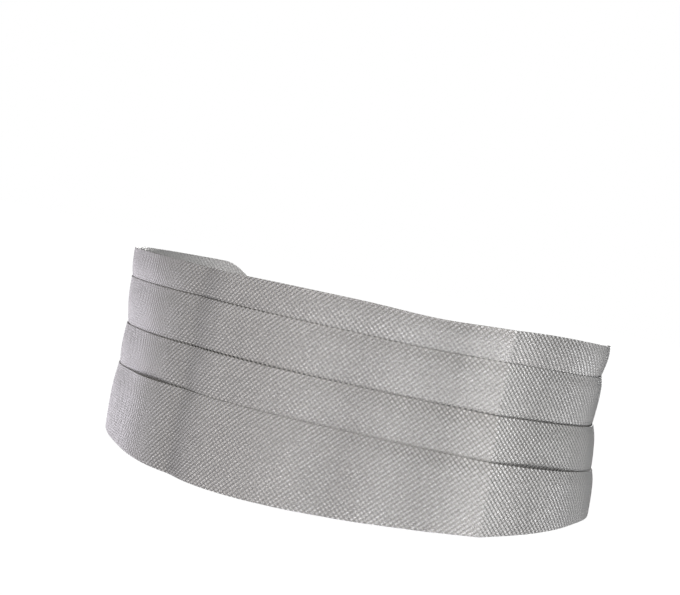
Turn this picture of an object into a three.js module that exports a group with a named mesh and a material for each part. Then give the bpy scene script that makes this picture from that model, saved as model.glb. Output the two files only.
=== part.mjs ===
// A pleated cummerbund, closed round a waist. Millimetres, +Z up.
// The wearer faces -Y and the wearer's left is +X. The origin lies on the waist's axis,
// halfway up the front of the band.
import * as THREE from "three";

// The waist's outline, measured over the folds
const waistWidth = 285;
const waistDepth = 210;
const waistSquareness = 2.06;

// The pleated band
const bandHeight = 112;
const hemRise = 21.7;
const clothWall = 1;
const plyGap = 0.3;
const pleatUnderlap = 11;
const pleatPuff = 0.5;

// The two ends of the pleated band, where the pleats close up and are sewn to the straps
const endHeight = 62;
const endTaper = 46;
const endSeam = 14;
const seamMargin = 2;

// The plain straps and the clasp at the back
const strapReach = 92;
const strapWidth = 32;
const strapWall = 1.5;
const strapLoopTaper = 14;
const strapLoopCorner = 1.2;
const claspLength = 44;
const claspRail = 4;
const claspWall = 2.4;
const claspBar = 3;
const claspSlot = 6;
const claspCorner = 3;
const claspClearance = 0.3;

// How finely the cloth is divided
const bandColumns = 98;
const strapColumns = 16;
const noseSteps = 3;
const outlineSteps = 1440;

const satin = { color: 0xb9b7b6, roughness: 0.5, metalness: 0 };
const webbing = { color: 0xaeacab, roughness: 0.7, metalness: 0 };
const nickel = { color: 0xc4c3c0, roughness: 0.3, metalness: 1 };

// One row for each fold line, from the top edge to the hem. The drop is a share of
// bandHeight. The flares are shares of waistWidth: how far the line stands out at the sides.
const foldLines = [
  { name: "top_edge", drop: 0, leftFlare: -0.0007, rightFlare: 0.0049 },
  { name: "first_fold", drop: 0.146, leftFlare: -0.0042, rightFlare: 0 },
  { name: "second_fold", drop: 0.38, leftFlare: -0.0014, rightFlare: -0.0109 },
  { name: "third_fold", drop: 0.585, leftFlare: 0.0151, rightFlare: -0.0098 },
  { name: "hem", drop: 1, leftFlare: 0.0235, rightFlare: -0.0105 },
];

// How far the hem has risen, as a share of hemRise, at a share of the way round to the band's end.
const hemProfile = [
  { round: 0, rise: 0 },
  { round: 0.195, rise: 0.09 },
  { round: 0.39, rise: 0.33 },
  { round: 0.54, rise: 0.6 },
  { round: 0.645, rise: 0.86 },
  { round: 0.735, rise: 0.97 },
  { round: 0.83, rise: 1 },
  { round: 1, rise: 1 },
];

// The upright bends of the worn cloth. A row's place, spread and softness are shares of the way
// round to the band's end, plus to the wearer's left. Its depths are shares of waistDepth, and
// it is sharp where its softness is small.
const bends = [
  { name: "right_side_hollow", at: -0.325, spread: 0.08, softness: 0.029, top: -0.0069, hem: -0.0088 },
  { name: "front_right_crease", at: -0.126, spread: 0.027, softness: 0.02, top: -0.0131, hem: -0.0165 },
  { name: "front_hollow", at: 0.2, spread: 0.091, softness: 0.042, top: -0.0166, hem: -0.0274 },
  { name: "front_left_hollow", at: 0.325, spread: 0.074, softness: 0.029, top: -0.007, hem: -0.0146 },
  { name: "front_left_crease", at: 0.455, spread: 0.043, softness: 0.003, top: 0.0298, hem: 0.0264 },
  { name: "left_side_bend", at: 0.67, spread: 0.049, softness: 0.023, top: 0.0194, hem: -0.004 },
];

// Where a fold stands off the pleat above it, or its line wanders. Places and spreads are as
// in the bends. The lifts and the wander are shares of bandHeight.
const ripples = [
  { line: "top_edge", at: -0.08, spread: 0.06, lift: 0, wander: -0.005 },
  { line: "top_edge", at: 0.33, spread: 0.06, lift: 0, wander: -0.0105 },
  { line: "top_edge", at: 0.55, spread: 0.09, lift: 0, wander: 0.012 },
  { line: "first_fold", at: -0.1, spread: 0.08, lift: 0.005, wander: 0 },
  { line: "first_fold", at: 0.31, spread: 0.07, lift: 0, wander: -0.005 },
  { line: "first_fold", at: 0.48, spread: 0.06, lift: 0, wander: 0.005 },
  { line: "second_fold", at: -0.05, spread: 0.12, lift: 0.006, wander: 0 },
  { line: "second_fold", at: 0.58, spread: 0.1, lift: 0.006, wander: 0 },
  { line: "third_fold", at: -0.22, spread: 0.06, lift: 0.014, wander: 0 },
  { line: "third_fold", at: 0.55, spread: 0.06, lift: 0.014, wander: 0 },
];

const halfWidth = waistWidth / 2;
const halfDepth = waistDepth / 2;
const frontTop = bandHeight / 2;
const hemLine = foldLines.length - 1;
const lastPleat = foldLines.length - 2;
const pleatNames = ["top_pleat", "upper_pleat", "lower_pleat", "bottom_pleat"];

// Distance from the waist's axis to its outline, at an angle turned from the front to the left
function outlineRadius(angle) {
  const across = (Math.abs(Math.sin(angle)) / halfWidth) ** waistSquareness;
  const along = (Math.abs(Math.cos(angle)) / halfDepth) ** waistSquareness;
  return (across + along) ** (-1 / waistSquareness);
}

function outlinePoint(angle) {
  const radius = outlineRadius(angle);
  return new THREE.Vector2(radius * Math.sin(angle), -radius * Math.cos(angle));
}

// The arc length from the front centre to each of many angles on the left half
function measureOutline() {
  const rows = [{ angle: 0, arc: 0 }];
  let last = outlinePoint(0);
  for (let step = 1; step <= outlineSteps; step += 1) {
    const angle = (Math.PI * step) / outlineSteps;
    const point = outlinePoint(angle);
    rows.push({ angle, arc: rows[step - 1].arc + point.distanceTo(last) });
    last = point;
  }
  return rows;
}

const outlineRows = measureOutline();
const halfGirth = outlineRows[outlineSteps].arc;
const bandEnd = halfGirth - strapReach;

// Straight-line reading of a table, held at its first and last rows
function readTable(rows, key, column, value) {
  const next = rows.findIndex((row) => row[key] > value);
  if (next === 0) {
    return rows[0][column];
  }
  if (next < 0) {
    return rows[rows.length - 1][column];
  }
  const low = rows[next - 1];
  const high = rows[next];
  const share = (value - low[key]) / (high[key] - low[key]);
  return low[column] + share * (high[column] - low[column]);
}

// A smooth reading of a table, through the middle of a short window
function readSmoothly(rows, key, column, value, window) {
  const readings = [-1, -0.5, 0, 0.5, 1].map((step) => (
    readTable(rows, key, column, Math.abs(value + step * window))
  ));
  return readings.reduce((sum, reading) => sum + reading, 0) / readings.length;
}

// The place on the waist's outline at an arc length from the front, and its outward direction
function waistPlace(arc) {
  const side = Math.sign(arc) || 1;
  const angle = readTable(outlineRows, "arc", "angle", Math.abs(arc));
  const point = outlinePoint(angle);
  const normal = new THREE.Vector2(
    Math.sign(point.x) * (Math.abs(point.x) / halfWidth) ** (waistSquareness - 1) / halfWidth,
    Math.sign(point.y) * (Math.abs(point.y) / halfDepth) ** (waistSquareness - 1) / halfDepth,
  ).normalize();
  point.x *= side;
  normal.x *= side;
  return { point, normal, sideness: Math.sin(angle) ** 2 };
}

function waistPosition(arc, outward) {
  const place = waistPlace(arc);
  return place.point.addScaledVector(place.normal, outward);
}

const bell = (value, middle, spread) => Math.exp(-0.5 * ((value - middle) / spread) ** 2);

// A ridge that falls away on both sides of its middle, with a crest as round as its softness
function ridge(value, { at, spread, softness }) {
  return Math.exp((softness - Math.hypot(value - at, softness)) / spread);
}

// How far the band has closed up towards its end: 0 over the pleats, 1 at the sewn seam
function endShare(arc) {
  return THREE.MathUtils.smoothstep(Math.abs(arc), bandEnd - endSeam - endTaper, bandEnd - endSeam);
}

function rippleSum(line, round, column) {
  return ripples
    .filter((ripple) => ripple.line === foldLines[line].name)
    .reduce((sum, ripple) => sum + ripple[column] * bell(round, ripple.at, ripple.spread), 0) * bandHeight;
}

// Height of a fold line before the band closes up at its ends
function openHeight(line, arc) {
  const round = arc / bandEnd;
  const hemWindow = 0.06;
  const rise = readSmoothly(hemProfile, "round", "rise", Math.abs(round), hemWindow) * hemRise;
  const change = line === hemLine ? rise : rippleSum(line, round, "wander");
  return frontTop - foldLines[line].drop * bandHeight + change;
}

// How much of its open height the band keeps at an arc length
function heightShare(arc) {
  const open = openHeight(0, arc) - openHeight(hemLine, arc);
  return THREE.MathUtils.lerp(1, endHeight / open, endShare(arc));
}

function lineHeight(line, arc) {
  const middle = (openHeight(0, arc) + openHeight(hemLine, arc)) / 2;
  const centre = THREE.MathUtils.lerp(middle, 0, endShare(arc));
  return centre + (openHeight(line, arc) - middle) * heightShare(arc);
}

// How far a fold line lies outside the waist's outline
function lineOutward(line, arc) {
  const { drop, leftFlare, rightFlare } = foldLines[line];
  const round = arc / bandEnd;
  const flare = (arc > 0 ? leftFlare : rightFlare) * waistWidth * waistPlace(arc).sideness;
  const bend = bends.reduce((sum, row) => (
    sum + THREE.MathUtils.lerp(row.top, row.hem, drop) * ridge(round, row)
  ), 0) * waistDepth;
  return (flare + bend) * (1 - endShare(arc));
}

// How far a pleat's outer face lies outside the waist's outline, at a height. Below the next
// fold line the pleat follows the inside of the next pleat.
function pleatOutward(pleat, arc, height) {
  const top = lineHeight(pleat, arc);
  const bottom = lineHeight(pleat + 1, arc);
  if (height < bottom && pleat < lastPleat) {
    return pleatOutward(pleat + 1, arc, height) - clothWall - plyGap;
  }
  const down = (top - height) / (top - bottom);
  const lift = rippleSum(pleat, arc / bandEnd, "lift") * (1 - endShare(arc)) * (1 - down) ** 2;
  const tuck = pleat < lastPleat ? clothWall + plyGap : 0;
  const puff = pleatPuff * 4 * down * (1 - down) * (1 - endShare(arc));
  const tucked = lineOutward(pleat + 1, arc) - tuck;
  return THREE.MathUtils.lerp(lineOutward(pleat, arc), tucked, down) + puff + lift;
}

// A pleat's section at an arc length: up the outer face, over the fold and down the inner face
function pleatSection(pleat, arc) {
  const radius = clothWall / 2;
  const shoulder = lineHeight(pleat, arc) - radius;
  const bottom = lineHeight(pleat + 1, arc);
  const heights = [1, 2 / 3, 1 / 3, 0].map((down) => THREE.MathUtils.lerp(shoulder, bottom, down));
  if (pleat < lastPleat) {
    heights.unshift(bottom - pleatUnderlap * heightShare(arc));
  }
  const outer = heights.map((height) => ({ outward: pleatOutward(pleat, arc, height), height }));
  const inner = outer.map(({ outward, height }) => ({ outward: outward - clothWall, height })).reverse();
  const foldMiddle = outer[outer.length - 1].outward - radius;
  const nose = [];
  for (let step = 1; step < noseSteps; step += 1) {
    const turn = (Math.PI * step) / noseSteps;
    nose.push({ outward: foldMiddle + radius * Math.cos(turn), height: shoulder + radius * Math.sin(turn) });
  }
  return [...outer, ...nose, ...inner];
}

// A closed solid through a row of sections, each a loop of outward and height at its own arc length
function sweptSolid(sections) {
  const size = sections[0].loop.length;
  const positions = sections.flatMap(({ arc, loop }) => loop.flatMap(({ outward, height }) => {
    const place = waistPosition(arc, outward);
    return [place.x, place.y, height];
  }));
  const capFaces = ({ loop }) => THREE.ShapeUtils.triangulateShape(
    loop.map(({ outward, height }) => new THREE.Vector2(outward, height)),
    [],
  );
  const last = (sections.length - 1) * size;
  const index = capFaces(sections[0]).flat();
  capFaces(sections[sections.length - 1]).forEach(([a, b, c]) => index.push(last + c, last + b, last + a));
  for (let section = 0; section < sections.length - 1; section += 1) {
    for (let point = 0; point < size; point += 1) {
      const here = section * size + point;
      const above = section * size + ((point + 1) % size);
      index.push(here, here + size, above + size);
      index.push(here, above + size, above);
    }
  }
  const geometry = new THREE.BufferGeometry();
  geometry.setAttribute("position", new THREE.Float32BufferAttribute(positions, 3));
  geometry.setIndex(index);
  geometry.computeVertexNormals();
  return geometry;
}

// Even columns from end to end, with the nearest one to each bend moved onto it
function bandArcs() {
  const rounds = Array.from({ length: bandColumns + 1 }, (_, column) => (2 * column) / bandColumns - 1);
  bends.forEach(({ at }) => {
    rounds[Math.round(((at + 1) * bandColumns) / 2)] = at;
  });
  return rounds.map((round) => round * bandEnd);
}

function pleatGeometry(pleat) {
  return sweptSolid(bandArcs().map((arc) => ({ arc, loop: pleatSection(pleat, arc) })));
}

// The deepest inner face of the pleats' sewn ends
function seamInside() {
  const sections = pleatNames.map((_, pleat) => pleatSection(pleat, bandEnd));
  return Math.min(...sections.flat().map(({ outward }) => outward));
}

const strapMiddle = seamInside() - plyGap - strapWall / 2;
const barBack = claspLength / 2 - claspBar / 2;
const barPlace = new THREE.Vector2(barBack, waistPosition(halfGirth - barBack, strapMiddle).y);

// The strap's outline from above: along its outer side, round the eye that holds the clasp's
// bar, and back along its inner side
function strapShape() {
  const start = bandEnd - endSeam + seamMargin;
  const eyeLength = claspBar / 2 + claspClearance + strapWall;
  const eyeDepth = claspWall / 2 + claspClearance + strapWall;
  const loopStart = halfGirth - barBack - eyeLength - strapLoopTaper;
  const arcs = Array.from({ length: strapColumns + 1 }, (_, column) => (
    THREE.MathUtils.lerp(start, loopStart, column / strapColumns)
  ));
  const outer = arcs.map((arc) => waistPosition(arc, strapMiddle + strapWall / 2));
  const inner = arcs.map((arc) => waistPosition(arc, strapMiddle - strapWall / 2)).reverse();
  const eye = [
    [eyeLength, eyeDepth],
    [strapLoopCorner - eyeLength, eyeDepth],
    [-eyeLength, eyeDepth - strapLoopCorner],
    [-eyeLength, strapLoopCorner - eyeDepth],
    [strapLoopCorner - eyeLength, -eyeDepth],
    [eyeLength, -eyeDepth],
  ].map(([across, out]) => new THREE.Vector2(barPlace.x + across, barPlace.y + out));
  const shape = new THREE.Shape([...outer, ...eye, ...inner]);
  const holeLength = claspBar / 2 + claspClearance;
  const holeDepth = claspWall / 2 + claspClearance;
  shape.holes.push(new THREE.Path([
    new THREE.Vector2(barPlace.x - holeLength, barPlace.y - holeDepth),
    new THREE.Vector2(barPlace.x - holeLength, barPlace.y + holeDepth),
    new THREE.Vector2(barPlace.x + holeLength, barPlace.y + holeDepth),
    new THREE.Vector2(barPlace.x + holeLength, barPlace.y - holeDepth),
  ]));
  return shape;
}

function strapGeometry() {
  const geometry = new THREE.ExtrudeGeometry(strapShape(), { depth: strapWidth, bevelEnabled: false });
  return geometry.translate(0, 0, -strapWidth / 2);
}

function roundedRectangle(PathClass, left, right, halfHeight, corner) {
  const path = new PathClass();
  path.absarc(right - corner, corner - halfHeight, corner, -Math.PI / 2, 0);
  path.absarc(right - corner, halfHeight - corner, corner, 0, Math.PI / 2);
  path.absarc(left + corner, halfHeight - corner, corner, Math.PI / 2, Math.PI);
  path.absarc(left + corner, corner - halfHeight, corner, Math.PI, Math.PI * 1.5);
  return path;
}

// A flat slide with a slot at each end, which leaves a bar for each strap's eye
function claspGeometry() {
  const halfSlot = strapWidth / 2 + claspClearance;
  const halfHeight = halfSlot + claspRail;
  const slotCorner = claspClearance;
  const slotEnd = claspLength / 2 - claspBar;
  const shape = roundedRectangle(THREE.Shape, -claspLength / 2, claspLength / 2, halfHeight, claspCorner);
  [[-slotEnd, claspSlot - slotEnd], [slotEnd - claspSlot, slotEnd]].forEach(([left, right]) => {
    shape.holes.push(roundedRectangle(THREE.Path, left, right, halfSlot, slotCorner));
  });
  const options = { depth: claspWall, bevelEnabled: false, curveSegments: 4 };
  return new THREE.ExtrudeGeometry(shape, options).rotateX(Math.PI / 2);
}

function namedMesh(name, geometry, look) {
  const mesh = new THREE.Mesh(geometry, new THREE.MeshStandardMaterial(look));
  mesh.name = name;
  return mesh;
}

const pleats = new THREE.Group();
pleatNames.forEach((name, pleat) => {
  pleats.add(namedMesh(name, pleatGeometry(pleat), satin));
});

const leftStrap = namedMesh("left_back_strap", strapGeometry(), webbing);
const rightStrap = namedMesh("right_back_strap", strapGeometry(), webbing);
rightStrap.rotation.y = Math.PI;

const clasp = namedMesh("back_clasp", claspGeometry(), nickel);
clasp.position.y = barPlace.y + claspWall / 2;

const cummerbund = new THREE.Group();
cummerbund.add(pleats, leftStrap, rightStrap, clasp);

export default cummerbund;
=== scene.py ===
import math

import bmesh
import bpy
import numpy as np
from mathutils import Matrix, Vector
from mathutils.geometry import tessellate_polygon


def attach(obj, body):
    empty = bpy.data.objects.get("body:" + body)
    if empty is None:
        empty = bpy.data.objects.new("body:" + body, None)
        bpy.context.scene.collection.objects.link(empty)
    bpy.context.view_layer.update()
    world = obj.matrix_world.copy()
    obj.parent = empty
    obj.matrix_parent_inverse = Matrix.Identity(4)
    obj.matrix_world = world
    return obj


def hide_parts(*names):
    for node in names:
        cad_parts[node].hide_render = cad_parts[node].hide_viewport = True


# The dressed model of a pleated satin cummerbund, worn closed round a waist.
# Lengths are in millimetres, as in the CAD source, until a mesh is made in metres.
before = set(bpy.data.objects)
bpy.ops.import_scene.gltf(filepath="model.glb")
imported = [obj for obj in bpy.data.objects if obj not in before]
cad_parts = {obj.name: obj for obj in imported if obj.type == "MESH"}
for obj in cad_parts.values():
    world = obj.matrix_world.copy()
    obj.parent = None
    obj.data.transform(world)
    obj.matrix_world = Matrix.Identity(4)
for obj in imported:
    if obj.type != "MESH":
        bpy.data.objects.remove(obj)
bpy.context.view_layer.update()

MM = 0.001

# The waist's outline and the pleated band, as in the CAD source
WAIST_WIDTH = 285.0
WAIST_DEPTH = 210.0
WAIST_SQUARENESS = 2.06
BAND_HEIGHT = 112.0
HEM_RISE = 21.7
CLOTH_WALL = 1.0
PLY_GAP = 0.3
PLEAT_UNDERLAP = 11.0
PLEAT_PUFF = 0.5
END_HEIGHT = 62.0
END_TAPER = 46.0
END_SEAM = 14.0
SEAM_MARGIN = 2.0

# The straps and the slide, as in the CAD source
STRAP_REACH = 92.0
STRAP_WIDTH = 32.0
STRAP_WALL = 1.5
STRAP_LOOP_TAPER = 14.0
CLASP_LENGTH = 44.0
CLASP_BAR = 3.0
CLASP_WALL = 2.4
CLASP_CLEARANCE = 0.3

# Fold lines from the top edge to the hem: drop, left flare, right flare
FOLD_LINES = [
    (0.0, -0.0007, 0.0049),
    (0.146, -0.0042, 0.0),
    (0.38, -0.0014, -0.0109),
    (0.585, 0.0151, -0.0098),
    (1.0, 0.0235, -0.0105),
]

# How far the hem has risen on the way round to the band's end
HEM_ROUND = [0, 0.195, 0.39, 0.54, 0.645, 0.735, 0.83, 1]
HEM_SHARE = [0, 0.09, 0.33, 0.6, 0.86, 0.97, 1, 1]
HEM_WINDOW = 0.06
HEM_STEPS = [-1, -0.5, 0, 0.5, 1]

# Upright bends of the worn cloth: at, spread, softness, top depth, hem depth
BENDS = [
    (-0.325, 0.08, 0.029, -0.0069, -0.0088),
    (-0.126, 0.027, 0.02, -0.0131, -0.0165),
    (0.2, 0.091, 0.042, -0.0166, -0.0274),
    (0.325, 0.074, 0.029, -0.007, -0.0146),
    (0.455, 0.043, 0.003, 0.0298, 0.0264),
    (0.67, 0.049, 0.023, 0.0194, -0.004),
]

# Places where a fold stands off or its line wanders: line, at, spread, lift, wander
RIPPLES = [
    (0, -0.08, 0.06, 0, -0.005),
    (0, 0.33, 0.06, 0, -0.0105),
    (0, 0.55, 0.09, 0, 0.012),
    (1, -0.1, 0.08, 0.005, 0),
    (1, 0.31, 0.07, 0, -0.005),
    (1, 0.48, 0.06, 0, 0.005),
    (2, -0.05, 0.12, 0.006, 0),
    (2, 0.58, 0.1, 0.006, 0),
    (3, -0.22, 0.06, 0.014, 0),
    (3, 0.55, 0.06, 0.014, 0),
]
RIPPLE_LIFT = 3
RIPPLE_WANDER = 4

PLEAT_NAMES = ["top_pleat", "upper_pleat", "lower_pleat", "bottom_pleat"]
LAST_PLEAT = 3
HEM_LINE = 4
HALF_WIDTH = WAIST_WIDTH / 2
HALF_DEPTH = WAIST_DEPTH / 2
FRONT_TOP = BAND_HEIGHT / 2
OUTLINE_PLACES = 1441
ALONG_PLACES = 6001

# The basket weave: one repeat is two yarns wide and two yarns high
WEAVE_REPEAT = 2.78
WEAVE_TURN = 2 * math.pi / WEAVE_REPEAT
WEAVE_STEP = WEAVE_REPEAT / 4
WEAVE_RELIEF = 0.3
INNER_ROWS = 12
NOSE_STEPS = 6

# Each fold is pressed: its edge is thinner than the pleat and lies back against the one above
FOLD_PRESS = [0.68, 0.82, 0.68, 0.8]
FOLD_PRESS_REACH = 4.0
PULLED_PRESS_REACH = 9.0
FOLD_EDGE = 0.22
INNER_GAP = 0.15

# The relief loses this share where a pleat is tucked away and beside a fold, from one distance to another
TUCKED_FLAT = 0.75
TUCKED_FADE = (0.5, 2.5)
FOLD_FLAT = 0.55
FOLD_FADE_BELOW = (0.1, 1.5)
FOLD_FADE_ABOVE = (0.1, 1.2)
NOSE_RELIEF = 0.4

# The cloth is pulled flat from here on, to the wearer's right and left, and loses this share of relief
PULLED_RIGHT = (36.0, 80.0)
PULLED_LEFT = (172.0, 200.0)
PULLED_FLAT_RIGHT = 0.7
PULLED_FLAT_LEFT = 0.6

# A bend this deep, against the cloth this far to each side, counts as a full ridge or hollow, for the painted
# highlight on ridges and the painted shade in hollows
PAINTED_LIGHT_REACH = 24.0
PAINTED_LIGHT_DEPTH = 3.4

# The straps' ribs, edges and turned eyes; an edge row is a share of the half width and how far it draws in
RIB_PITCH = 1.3
RIB_RELIEF = 0.14
RIB_POINTS = 4
STRAP_PLACES = 60
STRAP_EDGE_ROWS = [(-1, 0.3), (-0.985, 0.1), (-0.96, 0), (0, 0), (0.96, 0), (0.985, 0.1), (1, 0.3)]
STRAP_SHARP = math.radians(50)
EYE_CORNER_SHARE = 0.62
EYE_TURNS = 13
HOLE_TURNS = 24
HOLE_POWER = 0.5

# Stitches: each is a short arched thread with rounded ends
THREAD_LENGTH = 2.3
THREAD_RADIUS = 0.26
THREAD_TURNS = 8
THREAD_RINGS = 7
THREAD_ARCH = 0.5
THREAD_SINK = 0.3
THREAD_TIP = 0.04
STITCH_PITCH = 3.1
STITCH_LIFT = 0.16
SEAM_ROWS = (3.0, END_SEAM - 3.5)
SEAM_STITCH_MARGIN = 1.5
STRAP_STITCH_ROWS = (2, 7)
STRAP_STITCH_MARGIN = 4

# The slide's edges
SLIDE_ROUNDING = 0.35
SLIDE_ROUNDING_STEPS = 3
SLIDE_FLAT_ANGLE = math.radians(1)
SLIDE_EDGE_ANGLE = math.radians(60)

# The camera, in metres and degrees
CAMERA_TURN = math.radians(32.177)
CAMERA_DISTANCE = 0.99682
CAMERA_HEIGHT = 0.085863
LOOK_TURN = math.radians(0.777)
LOOK_PITCH = math.radians(-1.98357)
CAMERA_ROLL = math.radians(11.3957)
CAMERA_LENS = 95.03
CAMERA_SENSOR = 36

# Floor and light, in metres, degrees and watts
FLOOR_DROP = 1.5
FLOOR_HALF_SIZE = 60
WORLD_LIGHT = 0.04
LIGHT_DISTANCE = 1.8
LIGHT_SIZE = 0.8

# Lights: name, turn from the front to the wearer's left, lift, power, colour
LIGHTS = [
    ("front_low", 32, -35, 14.5, (1.02, 0.99, 0.98)),
    ("right_low", -28, -35, 10.2, (0.97, 0.97, 1.05)),
    ("left_low", 92, -35, 20.8, (0.97, 1, 1.03)),
    ("front_high", 32, 50, 10.5, (0.99, 1.02, 0.99)),
    ("right_high", -13, 50, 6.3, (1.06, 0.98, 0.95)),
    ("left", 72, 15, 2.9, (1, 0.98, 1.02)),
    ("rear_right", -103, -12, 6.3, (0.99, 0.95, 1.05)),
    ("rear", 200, 15, 22.0, (1, 1, 1)),
    ("rear_low", 205, -35, 12.0, (1, 1, 1)),
]


# The waist's outline

def outline_radius(angle):
    """Distance from the waist's axis to its outline."""
    across = (np.abs(np.sin(angle)) / HALF_WIDTH) ** WAIST_SQUARENESS
    along = (np.abs(np.cos(angle)) / HALF_DEPTH) ** WAIST_SQUARENESS
    return (across + along) ** (-1 / WAIST_SQUARENESS)


def run_length(points):
    """Length along a row of points, up to each of them."""
    return np.concatenate([[0], np.cumsum(np.linalg.norm(np.diff(points, axis=0), axis=1))])


def outline_tables():
    """Angles turned from the front to the left, and the arc length to each along the outline."""
    angle = np.linspace(0, math.pi, OUTLINE_PLACES)
    radius = outline_radius(angle)
    return angle, run_length(np.stack([radius * np.sin(angle), -radius * np.cos(angle)], axis=-1))


OUTLINE_ANGLE, OUTLINE_ARC = outline_tables()
HALF_GIRTH = OUTLINE_ARC[-1]
BAND_END = HALF_GIRTH - STRAP_REACH


def waist_place(arc):
    """Point and outward normal on the waist's outline, and how far round to the side it lies."""
    side = np.where(np.sign(arc) == 0, 1, np.sign(arc))
    angle = np.interp(np.abs(arc), OUTLINE_ARC, OUTLINE_ANGLE)
    radius = outline_radius(angle)
    x = radius * np.sin(angle)
    y = -radius * np.cos(angle)
    normal_x = np.sign(x) * (np.abs(x) / HALF_WIDTH) ** (WAIST_SQUARENESS - 1) / HALF_WIDTH
    normal_y = np.sign(y) * (np.abs(y) / HALF_DEPTH) ** (WAIST_SQUARENESS - 1) / HALF_DEPTH
    length = np.hypot(normal_x, normal_y)
    return side * x, y, side * normal_x / length, normal_y / length, np.sin(angle) ** 2


def waist_position(arc, outward):
    """Points seen from above, a distance outward of the outline."""
    x, y, normal_x, normal_y, _ = waist_place(arc)
    return np.stack([x + normal_x * outward, y + normal_y * outward], axis=-1)


def waist_point(arc, outward, height):
    """Points in space, a distance outward of the outline and at a height."""
    return np.concatenate([waist_position(arc, outward), np.asarray(height)[..., None]], axis=-1)


# The pleats' shape

def smoothstep(value, low, high):
    share = np.clip((value - low) / (high - low), 0, 1)
    return share * share * (3 - 2 * share)


def end_share(arc):
    """How far the band has closed up: 0 over the pleats, 1 at the sewn seam."""
    return smoothstep(np.abs(arc), BAND_END - END_SEAM - END_TAPER, BAND_END - END_SEAM)


def ripple_sum(line, arc, column):
    around = arc / BAND_END
    total = np.zeros_like(around)
    for row in RIPPLES:
        if row[0] == line:
            total += row[column] * np.exp(-0.5 * ((around - row[1]) / row[2]) ** 2)
    return total * BAND_HEIGHT


def hem_rise(arc):
    """How far the hem has risen, averaged over a short window."""
    around = np.abs(arc / BAND_END)
    readings = [np.interp(np.abs(around + step * HEM_WINDOW), HEM_ROUND, HEM_SHARE) for step in HEM_STEPS]
    return sum(readings) / len(HEM_STEPS) * HEM_RISE


def open_height(line, arc):
    """Height of a fold line before the band's end closes up."""
    change = hem_rise(arc) if line == HEM_LINE else ripple_sum(line, arc, RIPPLE_WANDER)
    return FRONT_TOP - FOLD_LINES[line][0] * BAND_HEIGHT + change


def height_share(arc):
    opened = open_height(0, arc) - open_height(HEM_LINE, arc)
    return 1 + (END_HEIGHT / opened - 1) * end_share(arc)


def line_height(line, arc):
    middle = (open_height(0, arc) + open_height(HEM_LINE, arc)) / 2
    centre = middle * (1 - end_share(arc))
    return centre + (open_height(line, arc) - middle) * height_share(arc)


def line_outward(line, arc):
    """How far a fold line lies outward of the waist's outline."""
    drop, left_flare, right_flare = FOLD_LINES[line]
    around = arc / BAND_END
    sideness = waist_place(arc)[4]
    flare = np.where(arc > 0, left_flare, right_flare) * WAIST_WIDTH * sideness
    bend = np.zeros_like(around)
    for at, spread, softness, top, hem in BENDS:
        depth = top + (hem - top) * drop
        bend += depth * np.exp((softness - np.hypot(around - at, softness)) / spread)
    return (flare + bend * WAIST_DEPTH) * (1 - end_share(arc))


def shown_outward(pleat, arc, down):
    """Outward place of a pleat's outer face, at a share of the way down to the next line."""
    lift = ripple_sum(pleat, arc, RIPPLE_LIFT) * (1 - end_share(arc)) * (1 - down) ** 2
    tuck = CLOTH_WALL + PLY_GAP if pleat < LAST_PLEAT else 0
    puff = PLEAT_PUFF * 4 * down * (1 - down) * (1 - end_share(arc))
    start = line_outward(pleat, arc)
    tucked = line_outward(pleat + 1, arc) - tuck
    return start + (tucked - start) * down + puff + lift


def pleat_outward(pleat, arc, height):
    """Outward place of a pleat's outer face at a height, with the part tucked behind the next."""
    top = line_height(pleat, arc)
    bottom = line_height(pleat + 1, arc)
    down = (top - height) / (top - bottom)
    shown = shown_outward(pleat, arc, np.minimum(down, 1))
    if pleat == LAST_PLEAT:
        return shown
    under = PLEAT_UNDERLAP * height_share(arc)
    next_bottom = line_height(pleat + 2, arc)
    next_down = under / (bottom - next_bottom)
    hidden = shown_outward(pleat + 1, arc, next_down) - CLOTH_WALL - PLY_GAP
    edge = shown_outward(pleat, arc, np.ones_like(arc))
    share = np.clip((bottom - height) / under, 0, 1)
    return np.where(height < bottom, edge + (hidden - edge) * share, shown)


def fold_press(pleat, arc, below):
    """How far a fold's outer face is pressed back, at a depth below its edge."""
    reach = FOLD_PRESS_REACH + (PULLED_PRESS_REACH - FOLD_PRESS_REACH) * smoothstep(-arc, *PULLED_RIGHT)
    return FOLD_PRESS[pleat] * np.exp(-(below / reach) ** 2)


def even_arcs(pleat):
    """Places along the waist that are one weave step apart on the cloth of a pleat."""
    fine = np.linspace(-BAND_END, BAND_END, ALONG_PLACES)
    outward = shown_outward(pleat, fine, np.full_like(fine, 0.5))
    run = run_length(waist_position(fine, outward))
    run -= np.interp(0, fine, run)
    count_right = int(-run[0] / WEAVE_STEP)
    count_left = int(run[-1] / WEAVE_STEP)
    steps = np.arange(-count_right, count_left + 1) * WEAVE_STEP
    steps[0], steps[-1] = run[0], run[-1]
    return np.interp(steps, run, fine), steps


def weave_height(along, up):
    """Relief of the basket weave, from -1 to 1."""
    return np.cos(WEAVE_TURN * along) * np.cos(WEAVE_TURN * up)


def painted_light_share(pleat, arc):
    """Painted light for the cloth's colour: up to 1, a painted highlight, where the cloth bends out into a
    ridge, down to -1, painted shade, where it bends in to a hollow.
    """
    here = line_outward(pleat, arc)
    around = sum(line_outward(pleat, arc + step) for step in (-PAINTED_LIGHT_REACH, PAINTED_LIGHT_REACH)) / 2
    return np.clip((here - around) / PAINTED_LIGHT_DEPTH, -1, 1)


def weave_depth(arc):
    """How much of the weave's relief is left where the cloth is pulled flat round the sides."""
    right = PULLED_FLAT_RIGHT * smoothstep(-arc, *PULLED_RIGHT)
    return 1 - right - PULLED_FLAT_LEFT * smoothstep(arc, *PULLED_LEFT)


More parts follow.
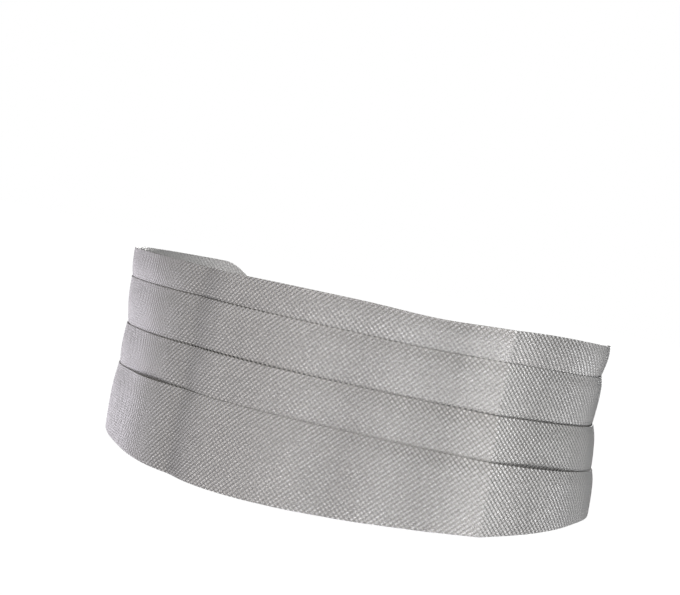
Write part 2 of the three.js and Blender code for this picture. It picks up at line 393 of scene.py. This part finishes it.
def grid_normals(points):
    """Unit normals of a grid of points whose rows run up the outer face of the cloth."""
    across = np.gradient(points, axis=1)
    upward = np.gradient(points, axis=0)
    normal = np.cross(across, upward)
    return normal / np.maximum(np.linalg.norm(normal, axis=2, keepdims=True), 1e-9)


def edge_turns():
    """Angles of the points that round off a cloth edge, from one face to the other."""
    return [math.pi * step / NOSE_STEPS for step in range(1, NOSE_STEPS)]


def rounded_edge(arc, start, end, height, bulge):
    """Rows of points round a cloth edge, from one face to the other, past a height by a bulge."""
    middle = (start + end) / 2
    half = (start - end) / 2
    return [waist_point(arc, middle + half * math.cos(turn), height + bulge * math.sin(turn))
            for turn in edge_turns()]


def pleat_mesh(pleat):
    """Rows of points round a pleat's section, and each point's place on the flat cloth."""
    arc, along = even_arcs(pleat)
    top = line_height(pleat, arc)
    bottom = line_height(pleat + 1, arc)
    shoulder = top - FOLD_EDGE
    tucked = pleat < LAST_PLEAT
    under = PLEAT_UNDERLAP * height_share(arc) if tucked else np.full_like(arc, -FOLD_EDGE)
    lowest = bottom - under
    rows = int(math.ceil(float(np.max(shoulder - lowest)) / WEAVE_STEP))

    def pressed(height):
        """Outer and inner faces of the pressed cloth at a height."""
        full = pleat_outward(pleat, arc, height)
        inner = full - CLOTH_WALL - (INNER_GAP if pleat > 0 else 0)
        return full - fold_press(pleat, arc, top - height), inner

    skin, skin_up, strength = [], [], []
    for row in range(rows + 1):
        height = lowest + (shoulder - lowest) * row / rows
        skin.append(waist_point(arc, pressed(height)[0], height))
        skin_up.append(top - height)
        hidden = smoothstep(bottom - height, *TUCKED_FADE) if tucked else np.zeros_like(height)
        below_fold = smoothstep(top - height, *FOLD_FADE_BELOW)
        above_fold = smoothstep(np.abs(height - bottom), *FOLD_FADE_ABOVE)
        strength.append((1 - TUCKED_FLAT * hidden) * (1 - FOLD_FLAT * (1 - below_fold * above_fold)))
    outer_edge, inner_edge = pressed(shoulder)
    skin += rounded_edge(arc, outer_edge, inner_edge, shoulder, FOLD_EDGE)
    for turn in edge_turns():
        skin_up.append(np.full_like(arc, FOLD_EDGE - turn * FOLD_EDGE))
        strength.append(np.full_like(arc, max(0, math.cos(turn)) * NOSE_RELIEF))

    back, back_up = [], []
    for row in range(INNER_ROWS + 1):
        height = shoulder + (lowest - shoulder) * row / INNER_ROWS
        back.append(waist_point(arc, pressed(height)[1], height))
        back_up.append(-2 * FOLD_EDGE - (shoulder - height))
    if not tucked:
        outer_hem, inner_hem = pressed(lowest)
        back += rounded_edge(arc, inner_hem, outer_hem, lowest, -FOLD_EDGE)
        back_up += [back_up[INNER_ROWS] - turn * FOLD_EDGE for turn in edge_turns()]

    skin = np.array(skin)
    skin_up = np.array(skin_up)
    depth = weave_depth(arc)
    relief = WEAVE_RELIEF * weave_height(along[None, :], skin_up) * np.array(strength) * depth
    skin = skin + grid_normals(skin) * relief[..., None]
    ups = np.concatenate([skin_up, back_up])
    return np.concatenate([skin, back]), along, ups, painted_light_share(pleat, arc), depth


# Meshes

def link_piece(name, mesh):
    piece = bpy.data.objects.new(name, mesh)
    bpy.context.collection.objects.link(piece)
    return piece


def shade_smooth(mesh):
    mesh.polygons.foreach_set("use_smooth", [True] * len(mesh.polygons))


def closed_mesh(name, verts, faces):
    """A smooth-shaded mesh from points and faces, with its normals turned outward."""
    mesh = bpy.data.meshes.new(name)
    mesh.from_pydata(verts, [], faces)
    work = bmesh.new()
    work.from_mesh(mesh)
    bmesh.ops.recalc_face_normals(work, faces=work.faces)
    work.to_mesh(mesh)
    work.free()
    shade_smooth(mesh)
    return mesh


def mesh_from_loop(name, loop, along, ups, painted_light, depth):
    """A closed mesh from rows of points that run round a section, one column for each place."""
    rows, columns = loop.shape[:2]
    ids = np.arange(rows * columns).reshape(rows, columns)
    above = np.roll(ids, -1, axis=0)
    quads = np.stack([ids[:, :-1], ids[:, 1:], above[:, 1:], above[:, :-1]], axis=-1)
    faces = quads.reshape(-1, 4).tolist()
    faces.append(ids[:, 0].tolist())
    faces.append(ids[::-1, -1].tolist())
    mesh = bpy.data.meshes.new(name)
    mesh.from_pydata((loop * MM).reshape(-1, 3).tolist(), [], faces)
    mesh.validate()
    weave = mesh.attributes.new("weave", "FLOAT_VECTOR", "POINT")
    values = np.zeros((rows, columns, 3))
    values[..., 0] = along[None, :]
    values[..., 1] = ups
    # The third value is painted light: a painted highlight on ridges, painted shade in hollows
    values[..., 2] = painted_light[None, :]
    weave.data.foreach_set("vector", values.reshape(-1))
    relief = mesh.attributes.new("relief", "FLOAT", "POINT")
    relief.data.foreach_set("value", np.tile(depth, rows))
    shade_smooth(mesh)
    mesh.update()
    return link_piece(name, mesh)


# Materials

def new_material(name, surface):
    """A material, and its shader with values set on the shader's own sockets."""
    material = bpy.data.materials.new(name)
    material.use_nodes = True
    nodes = material.node_tree.nodes
    shader = nodes["Principled BSDF"]
    for socket, value in surface.items():
        shader.inputs[socket].default_value = value
    return material, nodes, material.node_tree.links, shader


def math_node(nodes, links, operation, *values):
    node = nodes.new("ShaderNodeMath")
    node.operation = operation
    for socket, value in zip(node.inputs, values):
        if isinstance(value, (int, float)):
            socket.default_value = value
        else:
            links.new(value, socket)
    return node.outputs[0]


def noise_node(nodes, links, place, scale, detail):
    node = nodes.new("ShaderNodeTexNoise")
    node.inputs["Scale"].default_value = scale
    node.inputs["Detail"].default_value = detail
    links.new(place, node.inputs["Vector"])
    return node.outputs["Fac"]


def colour_between(nodes, links, shader, share, dark, light):
    """Colours the surface between a dark and a light tone."""
    ramp = nodes.new("ShaderNodeValToRGB")
    ramp.color_ramp.elements[0].color = (*dark, 1)
    ramp.color_ramp.elements[1].color = (*light, 1)
    links.new(share, ramp.inputs[0])
    links.new(ramp.outputs[0], shader.inputs["Base Color"])


def bump_by(nodes, links, shader, height, distance, strength):
    bump = nodes.new("ShaderNodeBump")
    bump.inputs["Strength"].default_value = strength
    bump.inputs["Distance"].default_value = distance
    links.new(height, bump.inputs["Height"])
    links.new(bump.outputs[0], shader.inputs["Normal"])


def satin_material():
    """The basket weave, by each point's place on the flat cloth, with a soft sheen, painted shade in the
    weave's low points and in hollows, and a painted highlight on ridges.
    """
    material, nodes, links, shader = new_material("silver_satin", {
        "Metallic": 0.35,
        "Roughness": 0.42,
        "Specular IOR Level": 0.6,
        "Sheen Weight": 0.15,
        "Sheen Roughness": 0.4,
    })
    place = nodes.new("ShaderNodeAttribute")
    place.attribute_name = "weave"
    split = nodes.new("ShaderNodeSeparateXYZ")
    links.new(place.outputs["Vector"], split.inputs[0])
    waves = []
    for axis in range(2):
        angle = math_node(nodes, links, "MULTIPLY", split.outputs[axis], WEAVE_TURN)
        waves.append(math_node(nodes, links, "COSINE", angle))
    weave = math_node(nodes, links, "MULTIPLY", *waves)
    cloudy = noise_node(nodes, links, place.outputs["Vector"], scale=0.03, detail=3)
    fibre = noise_node(nodes, links, place.outputs["Vector"], scale=1.6, detail=2)
    # Colour tone: painted shade and painted highlight from the weave and the bends, and random cloudy and
    # fibre tone
    tone = 0.5
    for source, middle, share in (
        # The weave's colour is lighter on its tops and darker in its low points: painted shade between the
        # yarns
        (weave, 0, 0.2),
        (split.outputs[2], 0, 0.3),
        (cloudy, 0.5, 0.3),
        (fibre, 0.5, 0.15),
    # Painted highlight on ridges and painted shade in hollows, from the third value of the weave attribute
    ):
        apart = math_node(nodes, links, "SUBTRACT", source, middle)
        tone = math_node(nodes, links, "ADD", math_node(nodes, links, "MULTIPLY", apart, share), tone)
    colour_between(nodes, links, shader, tone, (0.34, 0.332, 0.325), (0.60, 0.586, 0.574))
    relief = nodes.new("ShaderNodeAttribute")
    relief.attribute_name = "relief"
    fibres = math_node(nodes, links, "MULTIPLY", fibre, 0.25)
    yarns = math_node(nodes, links, "ADD", weave, fibres)
    height = math_node(nodes, links, "MULTIPLY", yarns, relief.outputs["Fac"])
    bump_by(nodes, links, shader, height, distance=0.00036, strength=1)
    return material


def webbing_material():
    """Matt grey cloth with a fine grain."""
    material, nodes, links, shader = new_material("ribbed_webbing", {"Roughness": 0.75, "Sheen Weight": 0.2})
    place = nodes.new("ShaderNodeTexCoord")
    grain = noise_node(nodes, links, place.outputs["Object"], scale=1500, detail=3)
    colour_between(nodes, links, shader, grain, (0.33, 0.325, 0.32), (0.46, 0.452, 0.445))
    bump_by(nodes, links, shader, grain, distance=0.0001, strength=1)
    return material


def thread_material():
    """Light grey thread with a twist."""
    material, nodes, links, shader = new_material("grey_thread", {"Roughness": 0.6})
    place = nodes.new("ShaderNodeTexCoord")
    twist = nodes.new("ShaderNodeTexWave")
    twist.inputs["Scale"].default_value = 900
    twist.inputs["Distortion"].default_value = 1.5
    links.new(place.outputs["Object"], twist.inputs["Vector"])
    colour_between(nodes, links, shader, twist.outputs["Fac"], (0.48, 0.474, 0.466), (0.66, 0.652, 0.642))
    bump_by(nodes, links, shader, twist.outputs["Fac"], distance=0.00005, strength=1)
    return material


def nickel_material():
    """Satin nickel, brushed along the slide."""
    material, nodes, links, shader = new_material("satin_nickel", {"Metallic": 0.75})
    place = nodes.new("ShaderNodeTexCoord")
    stretch = nodes.new("ShaderNodeMapping")
    stretch.inputs["Scale"].default_value = (60, 2000, 4000)
    links.new(place.outputs["Object"], stretch.inputs["Vector"])
    brush = noise_node(nodes, links, stretch.outputs[0], scale=1, detail=3)
    colour_between(nodes, links, shader, brush, (0.42, 0.412, 0.396), (0.54, 0.53, 0.51))
    rough = math_node(nodes, links, "MULTIPLY_ADD", brush, 0.2, 0.24)
    links.new(rough, shader.inputs["Roughness"])
    bump_by(nodes, links, shader, brush, distance=0.00003, strength=0.3)
    return material


satin = satin_material()
webbing = webbing_material()
nickel = nickel_material()
thread = thread_material()


def dress(piece, material, node=None):
    """Gives a piece its finish, rides it on the root body, and hides the CAD node it stands in for, if one is
    given.
    """
    piece.data.materials.append(material)
    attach(piece, "root")
    if node:
        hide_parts(node)


# The pleats

for pleat, name in enumerate(PLEAT_NAMES):
    loop, along, ups, painted_light, depth = pleat_mesh(pleat)
    piece = mesh_from_loop(name + "_cloth", loop, along, ups, painted_light, depth)
    dress(piece, satin, name)


# The straps

def seam_inside():
    """The deepest inner face of the pleats' sewn ends."""
    end = np.array([BAND_END])
    deepest = 0
    for pleat in range(LAST_PLEAT):
        lowest = line_height(pleat + 1, end) - PLEAT_UNDERLAP * height_share(end)
        deepest = min(deepest, float(pleat_outward(pleat, end, lowest)[0]))
    return deepest - CLOTH_WALL


STRAP_MIDDLE = seam_inside() - PLY_GAP - STRAP_WALL / 2
BAR_BACK = CLASP_LENGTH / 2 - CLASP_BAR / 2
HOLE_LENGTH = CLASP_BAR / 2 + CLASP_CLEARANCE
HOLE_DEPTH = CLASP_WALL / 2 + CLASP_CLEARANCE
EYE_LENGTH = HOLE_LENGTH + STRAP_WALL
EYE_DEPTH = HOLE_DEPTH + STRAP_WALL
STRAP_START = BAND_END - END_SEAM + SEAM_MARGIN
LOOP_START = HALF_GIRTH - BAR_BACK - EYE_LENGTH - STRAP_LOOP_TAPER
BAR_PLACE = np.array([BAR_BACK, waist_position(HALF_GIRTH - BAR_BACK, STRAP_MIDDLE)[1]])


def evenly(points, spacing):
    """Points a fixed spacing apart along a row of points, and the length to each."""
    run = run_length(points)
    steps = np.linspace(0, run[-1], int(run[-1] / spacing) + 1)
    return np.stack([np.interp(steps, run, points[:, axis]) for axis in range(2)], axis=-1), steps


def eye_outline():
    """The outside of a strap's eye round the slide's bar, with rounded corners at its tip."""
    corner = EYE_DEPTH * EYE_CORNER_SHARE
    turns = np.linspace(math.pi / 2, math.pi * 1.5, EYE_TURNS)
    tip = [(corner - EYE_LENGTH + corner * math.cos(turn),
            math.sin(turn) * corner + math.copysign(EYE_DEPTH - corner, math.sin(turn))) for turn in turns]
    return BAR_PLACE + np.array([(EYE_LENGTH, EYE_DEPTH), *tip, (EYE_LENGTH, -EYE_DEPTH)])


def eye_hole():
    """The inside of a strap's eye, a box with soft corners."""
    turns = np.linspace(0, 2 * math.pi, HOLE_TURNS, endpoint=False)
    across, deep = np.cos(turns), np.sin(turns)
    return BAR_PLACE + np.stack([
        HOLE_LENGTH * np.sign(across) * np.abs(across) ** HOLE_POWER,
        HOLE_DEPTH * np.sign(deep) * np.abs(deep) ** HOLE_POWER,
    ], axis=-1)


def strap_outline():
    """The left strap's outline from above, with ribs on its faces, and its outward directions."""
    arcs = np.linspace(STRAP_START, LOOP_START, STRAP_PLACES)
    outer = waist_position(arcs, STRAP_MIDDLE + STRAP_WALL / 2)
    inner = waist_position(arcs, STRAP_MIDDLE - STRAP_WALL / 2)[::-1]
    outline, steps = evenly(np.concatenate([outer, eye_outline(), inner]), RIB_PITCH / RIB_POINTS)
    ahead = np.roll(outline, -1, axis=0) - np.roll(outline, 1, axis=0)
    ahead[0], ahead[-1] = outline[1] - outline[0], outline[-1] - outline[-2]
    outside = np.stack([-ahead[:, 1], ahead[:, 0]], axis=-1)
    outside /= np.linalg.norm(outside, axis=1, keepdims=True)
    ribs = RIB_RELIEF * (np.cos(2 * math.pi * steps / RIB_PITCH) - 1) / 2
    return outline + outside * ribs[:, None], outside


def ring_faces(start, count, other):
    """Faces between a closed ring of points and another like it."""
    faces = []
    for point in range(count):
        after = (point + 1) % count
        faces.append((start + point, other + point, other + after, start + after))
    return faces


def strap_piece(name, side):
    outline, outside = strap_outline()
    hole = eye_hole()
    count, hole_count = len(outline), len(hole)
    rings = [(share * STRAP_WIDTH / 2, outline - outside * shrink) for share, shrink in STRAP_EDGE_ROWS]
    verts, faces = [], []
    for level, (height, ring) in enumerate(rings):
        verts += [(x, y, height) for x, y in ring]
        if level:
            faces += ring_faces((level - 1) * count, count, level * count)
    hole_start = len(verts)
    for height in (rings[0][0], rings[-1][0]):
        verts += [(x, y, height) for x, y in hole]
    faces += ring_faces(hole_start, hole_count, hole_start + hole_count)
    for level, base in ((0, hole_start), (len(rings) - 1, hole_start + hole_count)):
        flat = [[Vector((x, y, 0)) for x, y in edge] for edge in (rings[level][1], hole)]
        ids = [*range(level * count, (level + 1) * count), *range(base, base + hole_count)]
        faces += [tuple(ids[corner] for corner in triangle) for triangle in tessellate_polygon(flat)]
    mesh = closed_mesh(name, [(side * x * MM, y * MM, z * MM) for x, y, z in verts], faces)
    mesh.set_sharp_from_angle(angle=STRAP_SHARP)
    return link_piece(name, mesh)


def thread_piece(name, places):
    """Short threads laid on cloth: each place is a point, a direction and an outward direction."""
    verts, faces = [], []
    for point, ahead, outward in places:
        across = np.cross(ahead, outward)
        base = len(verts)
        for ring in range(THREAD_RINGS):
            share = ring / (THREAD_RINGS - 1) * 2 - 1
            swell = 1 - share * share
            thick = THREAD_RADIUS * math.sqrt(max(THREAD_TIP, swell))
            lift = THREAD_RADIUS * (THREAD_ARCH * swell - THREAD_SINK)
            centre = point + ahead * share * THREAD_LENGTH / 2 + outward * lift
            for turn in range(THREAD_TURNS):
                angle = 2 * math.pi * turn / THREAD_TURNS
                spot = centre + across * thick * math.cos(angle) + outward * thick * math.sin(angle)
                verts.append(tuple(spot * MM))
        for ring in range(THREAD_RINGS - 1):
            start = base + ring * THREAD_TURNS
            faces += ring_faces(start, THREAD_TURNS, start + THREAD_TURNS)
        last = base + (THREAD_RINGS - 1) * THREAD_TURNS
        faces.append(tuple(range(base, base + THREAD_TURNS)))
        faces.append(tuple(reversed(range(last, last + THREAD_TURNS))))
    return link_piece(name, closed_mesh(name, verts, faces))


def stitch_place(arc, outward, height, face=1):
    """An upright stitch on the outer or inner face of the cloth."""
    _, _, normal_x, normal_y, _ = waist_place(arc)
    point = waist_point(arc, outward, height)
    return point, np.array([0, 0, 1.0]), np.array([normal_x, normal_y, 0]) * face


def seam_places(side):
    """Two upright rows of stitches that hold the closed pleats to a strap."""
    places = []
    for inset in SEAM_ROWS:
        arc = np.array(side * (BAND_END - inset))
        for pleat in range(len(PLEAT_NAMES)):
            top = line_height(pleat, arc)
            bottom = line_height(pleat + 1, arc)
            count = max(1, int((top - bottom - SEAM_STITCH_MARGIN) / STITCH_PITCH))
            for stitch in range(count):
                height = top - (top - bottom) * (stitch + 0.5) / count
                outward = pleat_outward(pleat, arc, height) - fold_press(pleat, arc, top - height)
                places.append(stitch_place(arc, outward + STITCH_LIFT, height))
    return places


def strap_stitch_places(side):
    """Rows of stitches across a strap, where its tail is sewn back after the bar."""
    places = []
    count = int((STRAP_WIDTH - STRAP_STITCH_MARGIN) / STITCH_PITCH)
    for face in (1, -1):
        outward = STRAP_MIDDLE + face * STRAP_WALL / 2
        for back in STRAP_STITCH_ROWS:
            arc = np.array(side * (LOOP_START - back))
            for stitch in range(count):
                height = (stitch - (count - 1) / 2) * STITCH_PITCH
                places.append(stitch_place(arc, outward, height, face))
    return places


for side, word in ((1, "left"), (-1, "right")):
    strap = strap_piece(word + "_strap_cloth", side)
    dress(strap, webbing, word + "_back_strap")
    stitches = thread_piece(word + "_strap_stitches", strap_stitch_places(side))
    dress(stitches, thread)
    seam = thread_piece(word + "_seam_stitches", seam_places(side))
    dress(seam, thread)


# The slide

def slide_piece():
    """The flat slide, with its edges rounded off."""
    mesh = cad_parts["back_clasp"].data.copy()
    mesh.name = "back_slide"
    mesh.materials.clear()
    work = bmesh.new()
    work.from_mesh(mesh)
    bmesh.ops.remove_doubles(work, verts=work.verts, dist=1e-6)
    bmesh.ops.dissolve_limit(work, angle_limit=SLIDE_FLAT_ANGLE, verts=work.verts, edges=work.edges)
    edges = [edge for edge in work.edges
             if len(edge.link_faces) == 2 and edge.calc_face_angle() > SLIDE_EDGE_ANGLE]
    bmesh.ops.bevel(work, geom=edges, offset=SLIDE_ROUNDING * MM, segments=SLIDE_ROUNDING_STEPS,
                    profile=0.5, affect="EDGES", clamp_overlap=True)
    work.to_mesh(mesh)
    work.free()
    shade_smooth(mesh)
    return link_piece("back_slide", mesh)


dress(slide_piece(), nickel, "back_clasp")


# Camera, floor and light

def direction(turn, lift):
    """A unit direction, turned from the front to the wearer's left and lifted up."""
    return Vector((math.sin(turn) * math.cos(lift), -math.cos(turn) * math.cos(lift), math.sin(lift)))


def place_camera():
    spot = direction(CAMERA_TURN, 0) * CAMERA_DISTANCE
    spot.z = CAMERA_HEIGHT
    turn = CAMERA_TURN + LOOK_TURN
    back = direction(turn, -LOOK_PITCH)
    across = Vector((math.cos(turn), math.sin(turn), 0))
    upward = back.cross(across)
    right = math.cos(CAMERA_ROLL) * across + math.sin(CAMERA_ROLL) * upward
    up = -math.sin(CAMERA_ROLL) * across + math.cos(CAMERA_ROLL) * upward
    data = bpy.data.cameras.new("camera")
    data.lens = CAMERA_LENS
    data.sensor_width = CAMERA_SENSOR
    camera = link_piece("camera", data)
    camera.matrix_world = Matrix((
        (right.x, up.x, back.x, spot.x),
        (right.y, up.y, back.y, spot.y),
        (right.z, up.z, back.z, spot.z),
        (0, 0, 0, 1),
    ))
    bpy.context.scene.camera = camera


def make_floor():
    """A pale floor that glows evenly and throws no light on the cloth."""
    mesh = bpy.data.meshes.new("floor")
    corners = [(x * FLOOR_HALF_SIZE, y * FLOOR_HALF_SIZE, 0) for x, y in ((-1, -1), (1, -1), (1, 1), (-1, 1))]
    mesh.from_pydata(corners, [], [(0, 1, 2, 3)])
    floor = link_piece("floor", mesh)
    floor.location = (0, 0, -FLOOR_DROP)
    material = new_material("pale_floor", {
        "Base Color": (0.9, 0.9, 0.9, 1),
        "Roughness": 0.9,
        "Emission Color": (1, 1, 1, 1),
        "Emission Strength": 1,
    })[0]
    mesh.materials.append(material)
    floor.visible_diffuse = False
    floor.visible_glossy = False


def area_light(name, turn, lift, power, colour):
    """A soft light, aimed at the waist."""
    data = bpy.data.lights.new(name, "AREA")
    data.shape = "SQUARE"
    data.size = LIGHT_SIZE
    data.energy = power
    data.color = colour
    light = link_piece(name, data)
    back = direction(math.radians(turn), math.radians(lift))
    light.location = back * LIGHT_DISTANCE
    light.rotation_mode = "QUATERNION"
    light.rotation_quaternion = back.to_track_quat("Z", "Y")
    light.visible_camera = False


def make_world():
    """White behind everything for the camera, and a faint even light on the cloth."""
    world = bpy.data.worlds.new("studio")
    bpy.context.scene.world = world
    world.use_nodes = True
    nodes = world.node_tree.nodes
    links = world.node_tree.links
    background = nodes["Background"]
    path = nodes.new("ShaderNodeLightPath")
    camera_ray = path.outputs["Is Camera Ray"]
    strength = math_node(nodes, links, "MULTIPLY_ADD", camera_ray, 1 - WORLD_LIGHT, WORLD_LIGHT)
    background.inputs["Color"].default_value = (1, 1, 1, 1)
    links.new(strength, background.inputs["Strength"])


place_camera()
make_floor()
make_world()
for light in LIGHTS:
    area_light(*light)
bpy.context.scene.view_settings.view_transform = "Standard"
